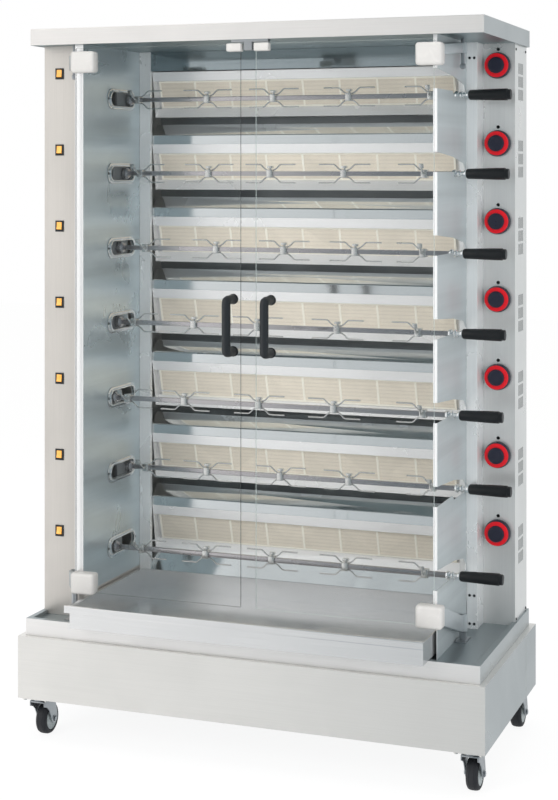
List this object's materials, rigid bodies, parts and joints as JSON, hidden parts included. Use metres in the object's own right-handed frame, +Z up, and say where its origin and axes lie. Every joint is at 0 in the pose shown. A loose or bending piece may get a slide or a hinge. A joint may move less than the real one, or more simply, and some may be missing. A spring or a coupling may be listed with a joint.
{
  "type": "gas chicken rotisserie",
  "caption": "Tall gas chicken rotisserie with glass doors, stacked spits in front of ceramic burners, a row of gas knobs and switches, a slide-out drip tray and castors.",
  "frame": {"origin": "on the floor, under the centre of the bounding box", "axes": "+X to the right seen from the front, +Y to the back, +Z up; the doors and the drip tray face -Y"},
  "size_m": [1.23, 0.652, 1.838],
  "materials": {
    "painted_cabinet": "satin light grey paint",
    "satin_steel": "satin brushed",
    "polished_steel": "polished",
    "heat_grey_steel": "satin, slightly heat dulled",
    "galvanised_steel": "dull galvanised",
    "burner_ceramic": "matt, finely perforated",
    "brass": "machined",
    "zinc_steel": "zinc plated",
    "cast_aluminium": "as cast",
    "spit_steel": "drawn bar, satin",
    "clear_glass": "clear toughened",
    "white_casting": "off-white enamel",
    "black_plastic": "matt black",
    "knob_plastic": "black with a red printed ring",
    "amber_lens": "translucent, lit from inside",
    "castor_rubber": "dark grey tyre on a light grey hub"
  },
  "bodies": {
    "cabinet": {"base_cabinet": "painted_cabinet", "plinth_tray": "satin_steel", "left_column": "satin_steel", "left_wall": "satin_steel", "right_wall": "satin_steel", "right_column": "satin_steel", "corner_posts": "satin_steel", "back_panel": "galvanised_steel", "canopy": "satin_steel", "reflectors": "polished_steel", "burner_housings": "heat_grey_steel", "burner_tiles": "burner_ceramic", "socket_bezels": "polished_steel", "switch_housings": "black_plastic", "gas_manifold": "brass", "door_hardware": "zinc_steel", "fasteners": "zinc_steel"},
    "left_door": {"door_glass_left": "clear_glass", "door_hinges_left": "white_casting", "door_handle_left": "black_plastic"},
    "right_door": {"door_glass_right": "clear_glass", "door_hinges_right": "white_casting", "door_handle_right": "black_plastic"},
    "drip_tray": {"drip_tray": "satin_steel"},
    "drive_1": {"drive_carriage_1": "cast_aluminium"},
    "spit_1": {"spit_1": "spit_steel"},
    "knob_1": {"knob_1": "knob_plastic"},
    "rocker_1": {"rocker_1": "amber_lens"},
    "drive_2": {"drive_carriage_2": "cast_aluminium"},
    "spit_2": {"spit_2": "spit_steel"},
    "knob_2": {"knob_2": "knob_plastic"},
    "rocker_2": {"rocker_2": "amber_lens"},
    "drive_3": {"drive_carriage_3": "cast_aluminium"},
    "spit_3": {"spit_3": "spit_steel"},
    "knob_3": {"knob_3": "knob_plastic"},
    "rocker_3": {"rocker_3": "amber_lens"},
    "drive_4": {"drive_carriage_4": "cast_aluminium"},
    "spit_4": {"spit_4": "spit_steel"},
    "knob_4": {"knob_4": "knob_plastic"},
    "rocker_4": {"rocker_4": "amber_lens"},
    "drive_5": {"drive_carriage_5": "cast_aluminium"},
    "spit_5": {"spit_5": "spit_steel"},
    "knob_5": {"knob_5": "knob_plastic"},
    "rocker_5": {"rocker_5": "amber_lens"},
    "drive_6": {"drive_carriage_6": "cast_aluminium"},
    "spit_6": {"spit_6": "spit_steel"},
    "knob_6": {"knob_6": "knob_plastic"},
    "rocker_6": {"rocker_6": "amber_lens"},
    "drive_7": {"drive_carriage_7": "cast_aluminium"},
    "spit_7": {"spit_7": "spit_steel"},
    "knob_7": {"knob_7": "knob_plastic"},
    "rocker_7": {"rocker_7": "amber_lens"},
    "castor_1": {"castor_fork_1": "zinc_steel"},
    "castor_wheel_1": {"castor_wheel_1": "castor_rubber"},
    "castor_2": {"castor_fork_2": "zinc_steel"},
    "castor_wheel_2": {"castor_wheel_2": "castor_rubber"},
    "castor_3": {"castor_fork_3": "zinc_steel"},
    "castor_wheel_3": {"castor_wheel_3": "castor_rubber"},
    "castor_4": {"castor_fork_4": "zinc_steel"},
    "castor_wheel_4": {"castor_wheel_4": "castor_rubber"}
  },
  "joints": [
    {"name": "left_door_hinge", "type": "hinge", "parent": "cabinet", "child": "left_door", "pos_m": [-0.497, -0.2, 1.083], "axis": [0, 0, -1], "range_deg": [0, 105]},
    {"name": "right_door_hinge", "type": "hinge", "parent": "cabinet", "child": "right_door", "pos_m": [0.5, -0.041, 1.083], "axis": [0, 0, 1], "range_deg": [0, 105]},
    {"name": "drip_tray_slide", "type": "slide", "parent": "cabinet", "child": "drip_tray", "axis": [0, -1, 0], "range_m": [0, 0.36]},
    {"name": "spit_reach_1", "type": "slide", "parent": "cabinet", "child": "drive_1", "axis": [0, -1, 0], "range_m": [0, 0.095]},
    {"name": "spit_reach_2", "type": "slide", "parent": "cabinet", "child": "drive_2", "axis": [0, -1, 0], "range_m": [-0.025, 0.07]},
    {"name": "spit_reach_3", "type": "slide", "parent": "cabinet", "child": "drive_3", "axis": [0, -1, 0], "range_m": [-0.056, 0.039]},
    {"name": "spit_reach_4", "type": "slide", "parent": "cabinet", "child": "drive_4", "axis": [0, -1, 0], "range_m": [-0.066, 0.029]},
    {"name": "spit_reach_5", "type": "slide", "parent": "cabinet", "child": "drive_5", "axis": [0, -1, 0], "range_m": [-0.094, 0.001]},
    {"name": "spit_reach_6", "type": "slide", "parent": "cabinet", "child": "drive_6", "axis": [0, -1, 0], "range_m": [0, 0.095]},
    {"name": "spit_reach_7", "type": "slide", "parent": "cabinet", "child": "drive_7", "axis": [0, -1, 0], "range_m": [-0.091, 0.004]},
    {"name": "spit_spin_1", "type": "hinge", "parent": "drive_1", "child": "spit_1", "pos_m": [-0.484, 0.046, 1.662], "axis": [1, 0, 0], "continuous": true},
    {"name": "spit_spin_2", "type": "hinge", "parent": "drive_2", "child": "spit_2", "pos_m": [-0.484, 0.021, 1.462], "axis": [1, 0, 0], "continuous": true},
    {"name": "spit_spin_3", "type": "hinge", "parent": "drive_3", "child": "spit_3", "pos_m": [-0.484, -0.01, 1.262], "axis": [1, 0, 0], "continuous": true},
    {"name": "spit_spin_4", "type": "hinge", "parent": "drive_4", "child": "spit_4", "pos_m": [-0.484, -0.02, 1.062], "axis": [1, 0, 0], "continuous": true},
    {"name": "spit_spin_5", "type": "hinge", "parent": "drive_5", "child": "spit_5", "pos_m": [-0.484, -0.048, 0.862], "axis": [1, 0, 0], "continuous": true},
    {"name": "spit_spin_6", "type": "hinge", "parent": "drive_6", "child": "spit_6", "pos_m": [-0.484, 0.046, 0.662], "axis": [1, 0, 0], "continuous": true},
    {"name": "spit_spin_7", "type": "hinge", "parent": "drive_7", "child": "spit_7", "pos_m": [-0.484, -0.045, 0.462], "axis": [1, 0, 0], "continuous": true},
    {"name": "castor_swivel_1", "type": "hinge", "parent": "cabinet", "child": "castor_1", "pos_m": [-0.572, -0.24, 0.1], "axis": [0, 0, 1], "continuous": true},
    {"name": "castor_swivel_2", "type": "hinge", "parent": "cabinet", "child": "castor_2", "pos_m": [0.572, -0.24, 0.1], "axis": [0, 0, 1], "continuous": true},
    {"name": "castor_swivel_3", "type": "hinge", "parent": "cabinet", "child": "castor_3", "pos_m": [-0.572, 0.24, 0.1], "axis": [0, 0, 1], "continuous": true},
    {"name": "castor_swivel_4", "type": "hinge", "parent": "cabinet", "child": "castor_4", "pos_m": [0.572, 0.24, 0.1], "axis": [0, 0, 1], "continuous": true},
    {"name": "castor_roll_1", "type": "hinge", "parent": "castor_1", "child": "castor_wheel_1", "pos_m": [-0.572, -0.21, 0.04], "axis": [1, 0, 0], "continuous": true},
    {"name": "castor_roll_2", "type": "hinge", "parent": "castor_2", "child": "castor_wheel_2", "pos_m": [0.572, -0.21, 0.04], "axis": [1, 0, 0], "continuous": true},
    {"name": "castor_roll_3", "type": "hinge", "parent": "castor_3", "child": "castor_wheel_3", "pos_m": [-0.572, 0.27, 0.04], "axis": [1, 0, 0], "continuous": true},
    {"name": "castor_roll_4", "type": "hinge", "parent": "castor_4", "child": "castor_wheel_4", "pos_m": [0.572, 0.27, 0.04], "axis": [1, 0, 0], "continuous": true},
    {"name": "gas_knob_1", "type": "hinge", "parent": "cabinet", "child": "knob_1", "pos_m": [0.55, 0.12, 1.74], "axis": [0, -1, 0], "range_deg": [0, 200]},
    {"name": "gas_knob_2", "type": "hinge", "parent": "cabinet", "child": "knob_2", "pos_m": [0.55, 0.12, 1.54], "axis": [0, -1, 0], "range_deg": [0, 200]},
    {"name": "gas_knob_3", "type": "hinge", "parent": "cabinet", "child": "knob_3", "pos_m": [0.55, 0.12, 1.34], "axis": [0, -1, 0], "range_deg": [0, 200]},
    {"name": "gas_knob_4", "type": "hinge", "parent": "cabinet", "child": "knob_4", "pos_m": [0.55, 0.12, 1.14], "axis": [0, -1, 0], "range_deg": [0, 200]},
    {"name": "gas_knob_5", "type": "hinge", "parent": "cabinet", "child": "knob_5", "pos_m": [0.55, 0.12, 0.94], "axis": [0, -1, 0], "range_deg": [0, 200]},
    {"name": "gas_knob_6", "type": "hinge", "parent": "cabinet", "child": "knob_6", "pos_m": [0.55, 0.12, 0.74], "axis": [0, -1, 0], "range_deg": [0, 200]},
    {"name": "gas_knob_7", "type": "hinge", "parent": "cabinet", "child": "knob_7", "pos_m": [0.55, 0.12, 0.54], "axis": [0, -1, 0], "range_deg": [0, 200]},
    {"name": "motor_switch_1", "type": "hinge", "parent": "cabinet", "child": "rocker_1", "pos_m": [-0.551, -0.177, 1.724], "axis": [1, 0, 0], "range_deg": [0, 16]},
    {"name": "motor_switch_2", "type": "hinge", "parent": "cabinet", "child": "rocker_2", "pos_m": [-0.551, -0.177, 1.524], "axis": [1, 0, 0], "range_deg": [0, 16]},
    {"name": "motor_switch_3", "type": "hinge", "parent": "cabinet", "child": "rocker_3", "pos_m": [-0.551, -0.177, 1.324], "axis": [1, 0, 0], "range_deg": [0, 16]},
    {"name": "motor_switch_4", "type": "hinge", "parent": "cabinet", "child": "rocker_4", "pos_m": [-0.551, -0.177, 1.124], "axis": [1, 0, 0], "range_deg": [0, 16]},
    {"name": "motor_switch_5", "type": "hinge", "parent": "cabinet", "child": "rocker_5", "pos_m": [-0.551, -0.177, 0.924], "axis": [1, 0, 0], "range_deg": [0, 16]},
    {"name": "motor_switch_6", "type": "hinge", "parent": "cabinet", "child": "rocker_6", "pos_m": [-0.551, -0.177, 0.724], "axis": [1, 0, 0], "range_deg": [0, 16]},
    {"name": "motor_switch_7", "type": "hinge", "parent": "cabinet", "child": "rocker_7", "pos_m": [-0.551, -0.177, 0.524], "axis": [1, 0, 0], "range_deg": [0, 16]}
  ]
}
